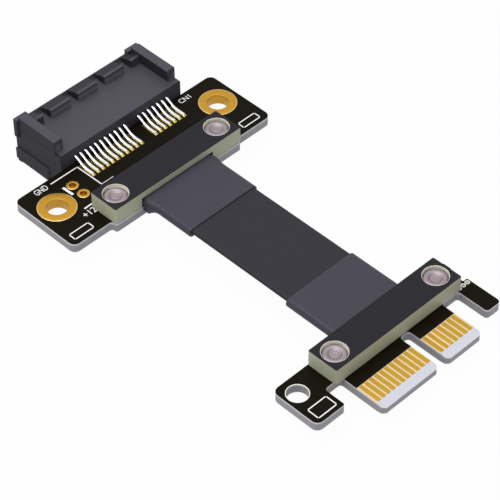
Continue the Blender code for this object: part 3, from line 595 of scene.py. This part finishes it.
def make_housing():
    """The moulded housing: a merged copy with its outer edges rounded as a mould leaves them."""
    housing = merged_copy("moulded_slot_housing", "slot_housing")
    # The slots and grooves lie between the end walls, and this near to the card plane: at the front and rear
    # faces, and inside
    end_wall, mouth_reach, groove_reach = 1.4 * MM, 3.0 * MM, 2.6 * MM
    land_foot, steep, gentle = BOARD_TOP + 2.0 * MM, 0.6, 0.985
    plain, end, land = range(3)

    def outer(middle, first, second):
        """True for edges away from the slots and the contact grooves."""
        rear = middle.x > HOUSING_HIGH.x - ON_END
        front = middle.x < HOUSING_LOW.x + ON_END
        reach = abs(middle.z - CARD_PLANE)
        between = HOUSING_LOW.y + end_wall < middle.y < HOUSING_HIGH.y - end_wall
        return not (between and reach < mouth_reach and (rear or front or reach < groove_reach))

    def housing_kind(middle, normal):
        """The end towards -Y and the slopes of the lands get darker copies of the nylon, as painted shade."""
        slope = steep < normal.z < gentle and middle.z > land_foot
        return end if normal.y < -0.7 else land if slope else plain

    soften_edges(housing, 0.09 * MM, outer)
    dress(housing, "housing_plastic", NYLON, SHADED_END_NYLON, SHADED_LAND_NYLON)
    sort_faces(housing, housing_kind)
    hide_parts("slot_housing")


make_housing()


# Contacts


def contact_places():
    """Y of each contact: eleven on the long side of the key and seven on the short side, 1 mm apart."""
    places = [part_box(f"slot_contact_top_{number:02d}") for number in CONTACT_NUMBERS]
    return [(low.y + high.y) / 2 for low, high in places]


def contact_strip(name, y, row):
    """One sprung contact: a rounded bar's section carried along the side view's path.

    The path is given from the board's back edge and the card plane, and row is 1 for the upper row and -1 for
    the lower one. The beam falls by half a cosine wave. The bar is full width on its pad and narrows in step
    with x, where it bends up, to 0.74 of that.
    """
    half_width, half_height, rounding = 0.235, 0.11, 0.07
    # The tail lies on 0.05 mm of solder over the pad's copper
    seat = HALF_BOARD + COPPER / MM + 0.05 + half_height
    tail = [(4.0, seat), (3.5, seat), (3.0, seat)]
    bend = [
        (2.5, 1.02),
        (2.0, 1.09),
        (1.5, 1.24),
        (1.04, 1.48),
        (0.6, 1.76),
        (0.3, 1.93),
        (-0.04, 2.06),
        (-0.4, 2.1),
    ]
    # The beam and its lifted tip, from the mating face: where it begins, and where it touches a card
    face = (HOUSING_LOW.x - BOARD_BACK) / MM
    begin, begin_height = face + 8.25, 2.1
    touch, touch_height = face + 2.2, 0.8
    beam = [
        (
            begin + (touch - begin) * share,
            begin_height + (touch_height - begin_height) * (1 - math.cos(math.pi * share)) / 2,
        )
        for share in np.linspace(0, 1, 8)
    ]
    tip = [(face + 1.75, 0.95), (face + 1.25, 1.3)]
    path = smooth_path(tail + bend + beam + tip, count=64) * MM
    up = quarter_turn(path)
    bar = rounded_bar(half_width * MM, half_height * MM, rounding * MM, steps=2)
    narrow_from, narrow_over, narrow_by = 2.6 * MM, 1.2 * MM, 0.26
    waist = 1 - narrow_by * np.clip((narrow_from - path[:, 0:1]) / narrow_over, 0, 1)
    x = BOARD_BACK + path[:, 0:1] + up[:, 0:1] * bar[:, 1]
    z = path[:, 1:2] + up[:, 1:2] * bar[:, 1]
    points = np.stack([x, y + waist * bar[:, 0], CARD_PLANE + row * z], -1)
    return sheet_of_points(name, points, around=True, caps=True)


def make_contacts():
    """Both rows of contacts, one piece each."""
    for row, side in ROWS:
        strips = [contact_strip(f"strip {y}", y, row) for y in contact_places()]
        contacts = joined(f"sprung_contacts_{side}", strips)
        dress(contacts, "contact_plating", TIN)
        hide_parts(*[f"slot_contact_{side}_{number:02d}" for number in CONTACT_NUMBERS])


make_contacts()


def solder_fillet(name, y, row):
    """Solder round one tail: half an ellipse with full shoulders over a flat base, carried along the pad.

    With p from -1 to 1 along the pad, both the height and the half width lose a share that grows with the
    eighth power of p, and the height rises by a straight step over the tail's end. Across, the section is
    the half width times cos t and the height times sin t to the power 0.7, with t over half a turn.
    """
    middle, half_length = 3.1, 1.22
    least_height, added_height, toe_height, base = 0.02, 0.11, 0.1, 0.045
    least_width, added_width = 0.24, 0.09
    toe_from, toe_over = 0.45, 0.35
    place = np.linspace(-1, 1, 17)
    full = 1 - np.abs(place) ** 8
    toe = np.clip((place - toe_from) / toe_over, 0, 1)
    rise = least_height + (added_height + toe_height * toe) * full
    wide = least_width + added_width * full
    arc = np.linspace(0, np.pi, 11)
    side = wide[:, None] * np.cos(arc)
    height = rise[:, None] * np.sin(arc) ** 0.7 + base
    x = BOARD_BACK + (middle + half_length * place) * MM
    z = (HALF_BOARD + height) * MM
    points = np.stack([np.broadcast_to(x[:, None], z.shape), y + side * MM, CARD_PLANE + row * z], -1)
    return sheet_of_points(name, points, around=True, caps=True)


def make_solder():
    """Solder on both rows of pads, one piece for each face of the board."""
    for row, side in ROWS:
        fillets = [solder_fillet(f"fillet {y}", y, row) for y in contact_places()]
        solder = joined(f"solder_fillets_{side}", fillets)
        dress(solder, "contact_plating", SOLDER)


make_solder()


# Boards and plates

EDGE_ROUND = 0.05 * MM


def board_rim(middle, first, second):
    """True for the edges between a board's faces and its routed sides."""
    level = min(abs(middle.z - BOARD_TOP), abs(middle.z - BOARD_BOTTOM)) < ON_LEVEL
    return level and (abs(first.z) > LEVEL) != (abs(second.z) > LEVEL)


def on_copper(middle):
    """True for the faces of the copper that stands out of a board."""
    return middle.z > BOARD_TOP + ON_LEVEL or middle.z < BOARD_BOTTOM - ON_LEVEL


def make_socket_board():
    """The socket's board: mask on its faces, laminate at its sides and gold on its pads."""
    board = merged_copy("socket_circuit_board", "socket_board")
    front = BOARD_BACK + 13.2 * MM
    corner_back, corner_side, short_of_tip = front - 1.8 * MM, 13.5 * MM, 0.9 * MM
    mask, edge, gold = range(3)

    def at_front(at):
        """True for the front edge and for the rounded corners at its ends, but not for the tongue's tip."""
        corner = at.x > corner_back and abs(at.y) > corner_side
        return corner or 0 <= at.x - front + ON_END < short_of_tip

    def board_kind(middle, normal):
        """Gold where the copper stands out, mask on level faces, laminate on upright ones."""
        return gold if on_copper(middle) else mask if abs(normal.z) > UPRIGHT else edge

    move_points(board, at_front, (OUTSET, 0, 0))
    soften_edges(board, EDGE_ROUND, board_rim)
    dress(board, "board_laminate", MASK, BOARD_EDGE, PAD_GOLD)
    sort_faces(board, board_kind)
    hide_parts("socket_board")


def make_plug_board():
    """The plug's board: as the socket's, with gold fingers and bare laminate between and before them."""
    mask_end = PLUG_BACK + 7.9 * MM
    gold_end = PLUG_BACK + 11.7 * MM
    tongue_low, tongue_high = -12 * MM, 8.5 * MM
    left_end, hole_reach = -18.55 * MM, 1.75 * MM
    right_side, right_front = 12 * MM, PLUG_BACK + 10.0 * MM
    board = merged_copy("plug_circuit_board", "plug_board", cuts=(mask_end, gold_end))
    mask, edge, gold, bare, gap = range(5)

    def at_left_end(at):
        """True for the left tab's outer end, but not for the wall of its hole."""
        return at.y < left_end and math.hypot(at.x - TAB_HOLE[0], at.y - TAB_HOLE[1]) > hole_reach

    def at_right_front(at):
        """True for the front edge of the right tab."""
        return at.x > right_front and at.y > right_side

    def board_kind(middle, normal):
        """As on the socket's board, and on the tongues bare laminate beside the gold and at the tip."""
        if on_copper(middle):
            return gold
        if abs(normal.z) < UPRIGHT:
            return edge
        if middle.x < mask_end or not tongue_low < middle.y < tongue_high:
            return mask
        return gap if middle.x < gold_end else bare

    move_points(board, at_left_end, (0, -OUTSET, 0))
    move_points(board, at_right_front, (OUTSET, 0, 0))
    soften_edges(board, EDGE_ROUND, board_rim)
    dress(board, "board_laminate", MASK, BOARD_EDGE, FINGER_GOLD, BARE, GAP)
    sort_faces(board, board_kind)
    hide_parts("plug_board")


make_socket_board()
make_plug_board()


def rivet_places(end):
    """X and Y of a clamp's two rivets."""
    boxes = [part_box(f"{end}_rivet_{side}") for side in SIDES]
    return [((low.x + high.x) / 2, (low.y + high.y) / 2) for low, high in boxes]


def make_plate(end):
    """A clamp plate: masked on top and raw laminate at the sides, and in the counterbores a much paler
    laminate, as painted light in their shade.
    """
    node = f"{end}_clamp_plate"
    low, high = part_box(node)
    plate = merged_copy(f"{end}_laminate_clamp", node)
    seats = rivet_places(end)
    bored, side_strip = 2.1 * MM, 0.3 * MM
    mask, edge, drilled = range(3)

    def plate_kind(middle, normal):
        """Mask on top, and below it the paler laminate with painted light near a rivet's axis and routed
        laminate elsewhere.
        """
        if normal.z > LEVEL and middle.z > high.z - ON_LEVEL:
            return mask
        return drilled if min(math.hypot(middle.x - x, middle.y - y) for x, y in seats) < bored else edge

    def rim(middle, first, second):
        """True for the edges of the top face and for those near the plate's outer sides."""
        inwards = min(middle.x - low.x, high.x - middle.x, middle.y - low.y, high.y - middle.y)
        return inwards < side_strip or middle.z > high.z - ON_LEVEL

    soften_edges(plate, EDGE_ROUND, rim)
    dress(plate, "plate_laminate", PLATE_MASK, PLATE_EDGE, LIT_BORE_LAMINATE)
    sort_faces(plate, plate_kind)
    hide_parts(node)


for end in ENDS:
    make_plate(end)


# Plated holes and rivets


def make_plated_hole(name, node, bore, rim, count):
    """A plated hole: a tube with a thin collar over and under the board, turned about its axis.

    bore is its radius inside. The collar's edge slopes over the width rim, and both that edge and the barrel
    have a finish of their own.
    """
    low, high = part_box(node)
    centre = (low + high) / 2
    outer = (high.x - low.x) / 2 / MM
    wall = bore + 0.08
    top, bottom = high.z / MM, low.z / MM
    lip, slope, rounding = 0.05, 0.025, 0.045
    profile = rounded_profile(
        [
            (bore, top, rounding),
            (outer - rim, top, 0),
            (outer, top - slope, 0.01),
            (outer, top - lip, 0),
            (wall, top - lip, 0),
            (wall, bottom + lip, 0),
            (outer, bottom + lip, 0),
            (outer, bottom + slope, 0.01),
            (outer - rim, bottom, 0),
            (bore, bottom, rounding),
        ]
    )
    hole = sheet_of_points(name, ring_of(profile, centre, count), around=True, along=True)
    collar, barrel, pale_edge = range(3)

    def gold_kind(middle, normal):
        """The barrel, the collar and its paler edge, by the distance from the axis."""
        radius = math.hypot(middle.x - centre.x, middle.y - centre.y) / MM
        return barrel if radius < bore + 0.02 else pale_edge if radius > outer - rim else collar

    dress(hole, "gold_plating", RING_GOLD, BARREL_GOLD, GOLD_RIM)
    sort_faces(hole, gold_kind)
    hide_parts(node)


for side in SIDES:
    make_plated_hole(f"gold_mounting_ring_{side}", f"mounting_ring_{side}", bore=1.7, rim=0.13, count=72)
for number in (1, 2):
    make_plated_hole(f"gold_eyelet_{number}", f"header_eyelet_{number}", bore=0.525, rim=0.07, count=40)


def make_rivet(name, node):
    """A rolled rivet turned about its axis: dished head, shank through plate and board, dished foot."""
    low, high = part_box(node)
    centre = (low + high) / 2
    seat = high.z / MM - 0.6
    top = high.z / MM + OUTSET
    bottom = low.z / MM
    foot = bottom + 0.45
    dish, hollow = top - 0.26, bottom + 0.2
    head, shank, flare = 1.95, 1.2, 1.8
    profile = rounded_profile(
        [
            (0.0, dish, 0),
            (0.42, dish, 0.06),
            (0.5, top - 0.235, 0.04),
            (0.58, dish, 0.05),
            (0.8, dish, 0.1),
            (1.08, top - 0.04, 0.14),
            (1.35, top, 0.1),
            (1.65, top, 0.12),
            (head, top - 0.25, 0.14),
            (head, seat, 0.05),
            (shank, seat, 0),
            (shank, foot, 0),
            (flare, foot, 0.05),
            (flare, hollow, 0.15),
            (1.4, bottom, 0.12),
            (1.0, bottom, 0.1),
            (0.75, hollow, 0.08),
            (0.0, hollow, 0),
        ]
    )
    rivet = sheet_of_points(name, ring_of(profile, centre, 64), around=True)
    dress(rivet, "rivet_metal", NICKEL)
    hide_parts(node)


for end in ENDS:
    for side in SIDES:
        make_rivet(f"{end}_rolled_rivet_{side}", f"{end}_rivet_{side}")


# How far the pale rims and the printing stand out of a dark face
PROUD = 0.012


def pale_rim(name, place, radius, face, width, depth, slot):
    """Pale edge of a drilled hole, where the drill broke the dark face: a thin ring round the hole's axis.

    The place and the face's height are in metres, and the other sizes in millimetres.
    """
    top = face / MM
    lap, skirt = 0.03, 0.05
    inner = radius - lap
    profile = rounded_profile(
        [
            (inner, top - depth, 0),
            (inner, top + PROUD, 0.03),
            (inner + width, top + PROUD, 0.01),
            (inner + width, top - skirt, 0),
            (inner + lap, top - depth, 0),
        ]
    )
    rim = sheet_of_points(name, ring_of(profile, place, 56), around=True, along=True)
    dress(rim, slot, RIM)


for end in ENDS:
    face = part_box(f"{end}_clamp_plate")[1].z
    for number, place in enumerate(rivet_places(end), 1):
        rim_name = f"{end}_counterbore_rim_{number}"
        pale_rim(rim_name, place, 2.025, face, width=0.05, depth=0.25, slot="plate_laminate")
pale_rim("plug_hole_rim", TAB_HOLE, 1.675, BOARD_TOP, width=0.1, depth=0.2, slot="board_laminate")
# The break holes' pale ring reaches 1.2 mm down each wall, so that the small holes look pale
for number, y in enumerate((13.12, 14.0, 14.88), 1):
    place = (PLUG_BACK + 5.1 * MM, y * MM)
    rim_name = f"break_hole_rim_{number}"
    pale_rim(rim_name, place, 0.3, BOARD_TOP, width=0.12, depth=1.2, slot="board_laminate")


# Ribbon and wraps


def make_ribbon():
    """The ribbon: a flat section with a low ridge over each conductor, carried straight along X.

    Between its ridges a side lies lower, by a cosine with one wave to a conductor. The edges are arcs.
    """
    half_width, thick, pitch = 6.6, 0.85, 0.9
    half_ridge, margin, rounding = 0.003, 0.4, 0.41
    clamped = 3.1
    across = np.linspace(-half_width + margin, half_width - margin, 141)
    ridge = half_ridge * (1 + np.cos(2 * np.pi * across / pitch)) - 2 * half_ridge
    arc = np.linspace(np.pi / 2, -np.pi / 2, 9)[1:-1]
    edge = np.stack([half_width - rounding + rounding * np.cos(arc), thick / 2 + rounding * np.sin(arc)], -1)
    upper = np.stack([across, thick + ridge], -1)
    lower = np.stack([across[::-1], -ridge], -1)
    section = np.concatenate([upper, edge, lower, edge[::-1] * [-1, 1]])
    x = np.linspace(BOARD_FRONT / MM - clamped, PLUG_BACK / MM + clamped, 12)
    points = np.empty((len(x), len(section), 3))
    points[..., 0] = x[:, None]
    points[..., 1] = CABLE_Y + section[:, 0]
    points[..., 2] = CABLE_BOTTOM + section[:, 1]
    ribbon = sheet_of_points("vinyl_ribbon", points * MM, around=True, caps=True)
    dress(ribbon, "ribbon_jacket", VINYL)
    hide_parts("ribbon_cable")


make_ribbon()


def make_wrap(end, board_edge, toward, root):
    """A wrap: a flat section swollen at its root, carried away from the clamp, and back as a bore.

    With x from the board's edge, the swelling grows as a square root from 0.1 mm to 0.2 mm, is full to 1.2 mm
    and falls with the square of what is left to nothing at 3.2 mm. root is how much of it the wrap has, from
    0 to 1. The mouth's edge is drawn in at 45 degrees over its last 0.05 mm.
    """
    inside, length, chamfer = -2.8, 9.85, 0.05
    half_width, low, high, rounding = 7.025, 0.05, 1.7, 0.79
    wider, deeper, sharper = 0.3, 0.7, 0.3
    bore_half_width, bore_low, bore_high, bore_rounding = 6.65, 0.6, 1.55, 0.45
    stations = [
        [inside, 0.1, 0.12, 0.2],
        np.linspace(0.35, 1.2, 5),
        np.linspace(1.3, 3.2, 20),
        np.linspace(3.7, 9.75, 12),
        [9.82, length],
    ]
    x = np.concatenate(stations)
    growing = np.clip((x - 0.1) / 0.1, 0, 1) ** 0.5
    falling = np.clip((3.2 - x) / 2.0, 0, 1) ** 2
    swell = root * np.where(x < 1.2, growing, falling)
    pinch = np.maximum(x - (length - chamfer), 0)
    sections = []
    for share, drawn in zip(swell, pinch):
        radius = rounding - drawn
        low_radius = radius + (sharper - radius) * share
        half = half_width + wider * share - drawn
        bottom = low - deeper * share + drawn
        sections.append(flat_bar_section(half, bottom, high - drawn, low_radius, radius))
    bore = flat_bar_section(bore_half_width, bore_low, bore_high, bore_rounding, bore_rounding)
    sections = np.array(sections + [bore, bore])
    x = np.append(x, [length, inside])
    points = np.empty((len(x), len(bore), 3))
    points[..., 0] = (board_edge / MM + toward * x)[:, None]
    points[..., 1] = CABLE_Y + sections[..., 0]
    points[..., 2] = BOARD_TOP / MM + sections[..., 1]
    wrap = sheet_of_points(f"{end}_film_wrap", points * MM, around=True, along=True)
    dress(wrap, "wrap_film", FILM)
    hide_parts(f"{end}_end_wrap")


make_wrap("socket", BOARD_FRONT, toward=1, root=1.0)
make_wrap("plug", PLUG_BACK, toward=-1, root=0.0)


# Printing

# How far the printing reaches into the mask
SUNK = 0.01


def ink_line(points, width):
    """A printed line: a thin bar of one width along points on the board, its ends square."""
    points = np.array(points, float) * MM
    side = quarter_turn(points) * width * MM / 2
    low, high = BOARD_TOP - SUNK * MM, BOARD_TOP + PROUD * MM
    grid = np.empty((len(points), 4, 3))
    for place, (sign, z) in enumerate(((-1, low), (1, low), (1, high), (-1, high))):
        grid[:, place, :2] = points + sign * side
        grid[:, place, 2] = z
    return sheet_of_points("printed line", grid, around=True, caps=True)


def ink_text(words, left, baseline, width, height):
    """Printed letters, read along +Y with their tops towards -X, scaled to a width and a height."""
    name = "printed letters"
    curve = bpy.data.curves.new(name, "FONT")
    curve.body = words
    curve.extrude = 0.5
    # The strokes spread a little, as printed ones do
    curve.offset = 0.0015
    made = bpy.data.objects.new(name, curve)
    bpy.context.scene.collection.objects.link(made)
    mesh = bpy.data.meshes.new_from_object(made.evaluated_get(bpy.context.evaluated_depsgraph_get()))
    bpy.data.objects.remove(made)
    corners = np.empty(len(mesh.vertices) * 3)
    mesh.vertices.foreach_get("co", corners)
    corners = corners.reshape(-1, 3)
    low, high = corners.min(0), corners.max(0)
    share = (corners - low) / (high - low)
    x = (baseline - height * share[:, 1]) * MM
    y = (left + width * share[:, 0]) * MM
    z = BOARD_TOP + (-SUNK + (SUNK + PROUD) * share[:, 2]) * MM
    mesh.vertices.foreach_set("co", np.stack([x, y, z], -1).ravel())
    return outward(name, mesh)


def ink_frame(x, y, length, width):
    """Four printed lines round an empty field, given by its middle, its length along X and its width."""
    line = 0.18
    half = line / 2
    back, front = x - length / 2, x + length / 2
    left, right = y - width / 2, y + width / 2
    return [
        ink_line([(back - half, left), (front + half, left)], line),
        ink_line([(front, left - half), (front, right + half)], line),
        ink_line([(front + half, right), (back - half, right)], line),
        ink_line([(back, right + half), (back, left - half)], line),
    ]


def make_printing():
    """The white printing: parts of outlines, three plain marks and three empty frames."""
    # Start and end of each line, and its width
    lines = (
        ((-27.45, -14.1), (-27.45, -8.7), 0.2),
        ((-27.54, -8.7), (-22.0, -8.6), 0.2),
        ((-25.55, -13.3), (-23.35, -13.2), 0.42),
        ((-22.02, -8.6), (-22.04, -6.2), 0.1),
        ((-19.84, -14.05), (-19.88, -12.4), 0.26),
    )
    inks = [ink_line([start, end], width) for start, end, width in lines]
    inks.append(ink_text("GND", left=-17.2, baseline=-26.9, width=2.35, height=1.15))
    inks.append(ink_text("+12", left=-15.15, baseline=-18.17, width=2.3, height=1.2))
    inks.append(ink_text("CN1", left=12.55, baseline=-26.75, width=2.2, height=1.0))
    inks += ink_frame(-16.6, -17.5, 1.35, 3.7)
    inks += ink_frame(-16.5, 17.3, 1.3, 3.5)
    inks += ink_frame(32.7, -17.2, 2.1, 3.6)
    printing = joined("screen_printing", inks)
    dress(printing, "board_laminate", INK)


make_printing()


# Stage

WHITE = (1, 1, 1, 1)
# Strength of the even light
ROOM_LIGHT = 0.55
# Half the ground's side in metres, and its height
GROUND_REACH, GROUND_LEVEL = 3.0, -0.01 * MM
# How much of the ground's own white a camera meets, the rest being the lit paper
GROUND_GLOW = 0.97
# Each lamp's place and side in metres, and its power in watts
LAMPS = {
    "overhead lamp": ((-0.1, -0.2, 0.95), 0.9, 9.0),
    "side lamp": ((-0.5, -0.9, 0.35), 0.6, 0.15),
}


def straight_ray(tree):
    """One where a camera, mirror or glass ray arrives, so that each of them meets the white backdrop."""
    ray = add(tree, "ShaderNodeLightPath", {})
    seen = ray.outputs["Is Camera Ray"]
    for kind in ("Is Glossy Ray", "Is Transmission Ray"):
        seen = reckon(tree, "MAXIMUM", seen, ray.outputs[kind])
    return seen


def make_room():
    """Even light from all sides, and a white backdrop where a straight ray meets it."""
    world = bpy.data.worlds.new("studio")
    world.use_nodes = True
    bpy.context.scene.world = world
    tree = world.node_tree
    white = add(tree, "ShaderNodeBackground", {"Color": WHITE, "Strength": 1.0})
    room = tree.nodes["Background"]
    feed(tree, room, {"Color": WHITE, "Strength": ROOM_LIGHT})
    shares = {0: straight_ray(tree), 1: room.outputs[0], 2: white.outputs[0]}
    both = add(tree, "ShaderNodeMixShader", shares)
    feed(tree, tree.nodes["World Output"], {"Surface": both.outputs[0]})


def make_ground():
    """A wide square of pale paper that a straight ray meets as nearly plain white."""
    mesh = bpy.data.meshes.new("ground")
    sides = ((-1, -1), (1, -1), (1, 1), (-1, 1))
    corners = [(x * GROUND_REACH, y * GROUND_REACH, GROUND_LEVEL) for x, y in sides]
    mesh.from_pydata(corners, [], [(0, 1, 2, 3)])
    ground = bpy.data.objects.new("ground", mesh)
    bpy.context.scene.collection.objects.link(ground)
    paper, tree, shader, _ = finish("white paper ground")
    feed(tree, shader, {"Base Color": linear("C8C8C8"), "Roughness": 0.9})
    glow = add(tree, "ShaderNodeEmission", {"Color": WHITE, "Strength": 1.0})
    share = reckon(tree, "MULTIPLY", straight_ray(tree), GROUND_GLOW)
    both = add(tree, "ShaderNodeMixShader", {0: share, 1: shader.outputs[0], 2: glow.outputs[0]})
    feed(tree, tree.nodes["Material Output"], {"Surface": both.outputs[0]})
    ground.data.materials.append(paper)


def make_lamps():
    """A wide soft lamp over the object and a weaker one from the left, both turned to the origin."""
    for name, (place, size, power) in LAMPS.items():
        lamp = bpy.data.lights.new(name, "AREA")
        lamp.size = size
        lamp.energy = power
        made = bpy.data.objects.new(name, lamp)
        made.location = place
        made.rotation_euler = Vector(place).to_track_quat("Z", "Y").to_euler()
        bpy.context.scene.collection.objects.link(made)


bpy.context.scene.view_settings.view_transform = "Standard"
make_room()
make_ground()
make_lamps()
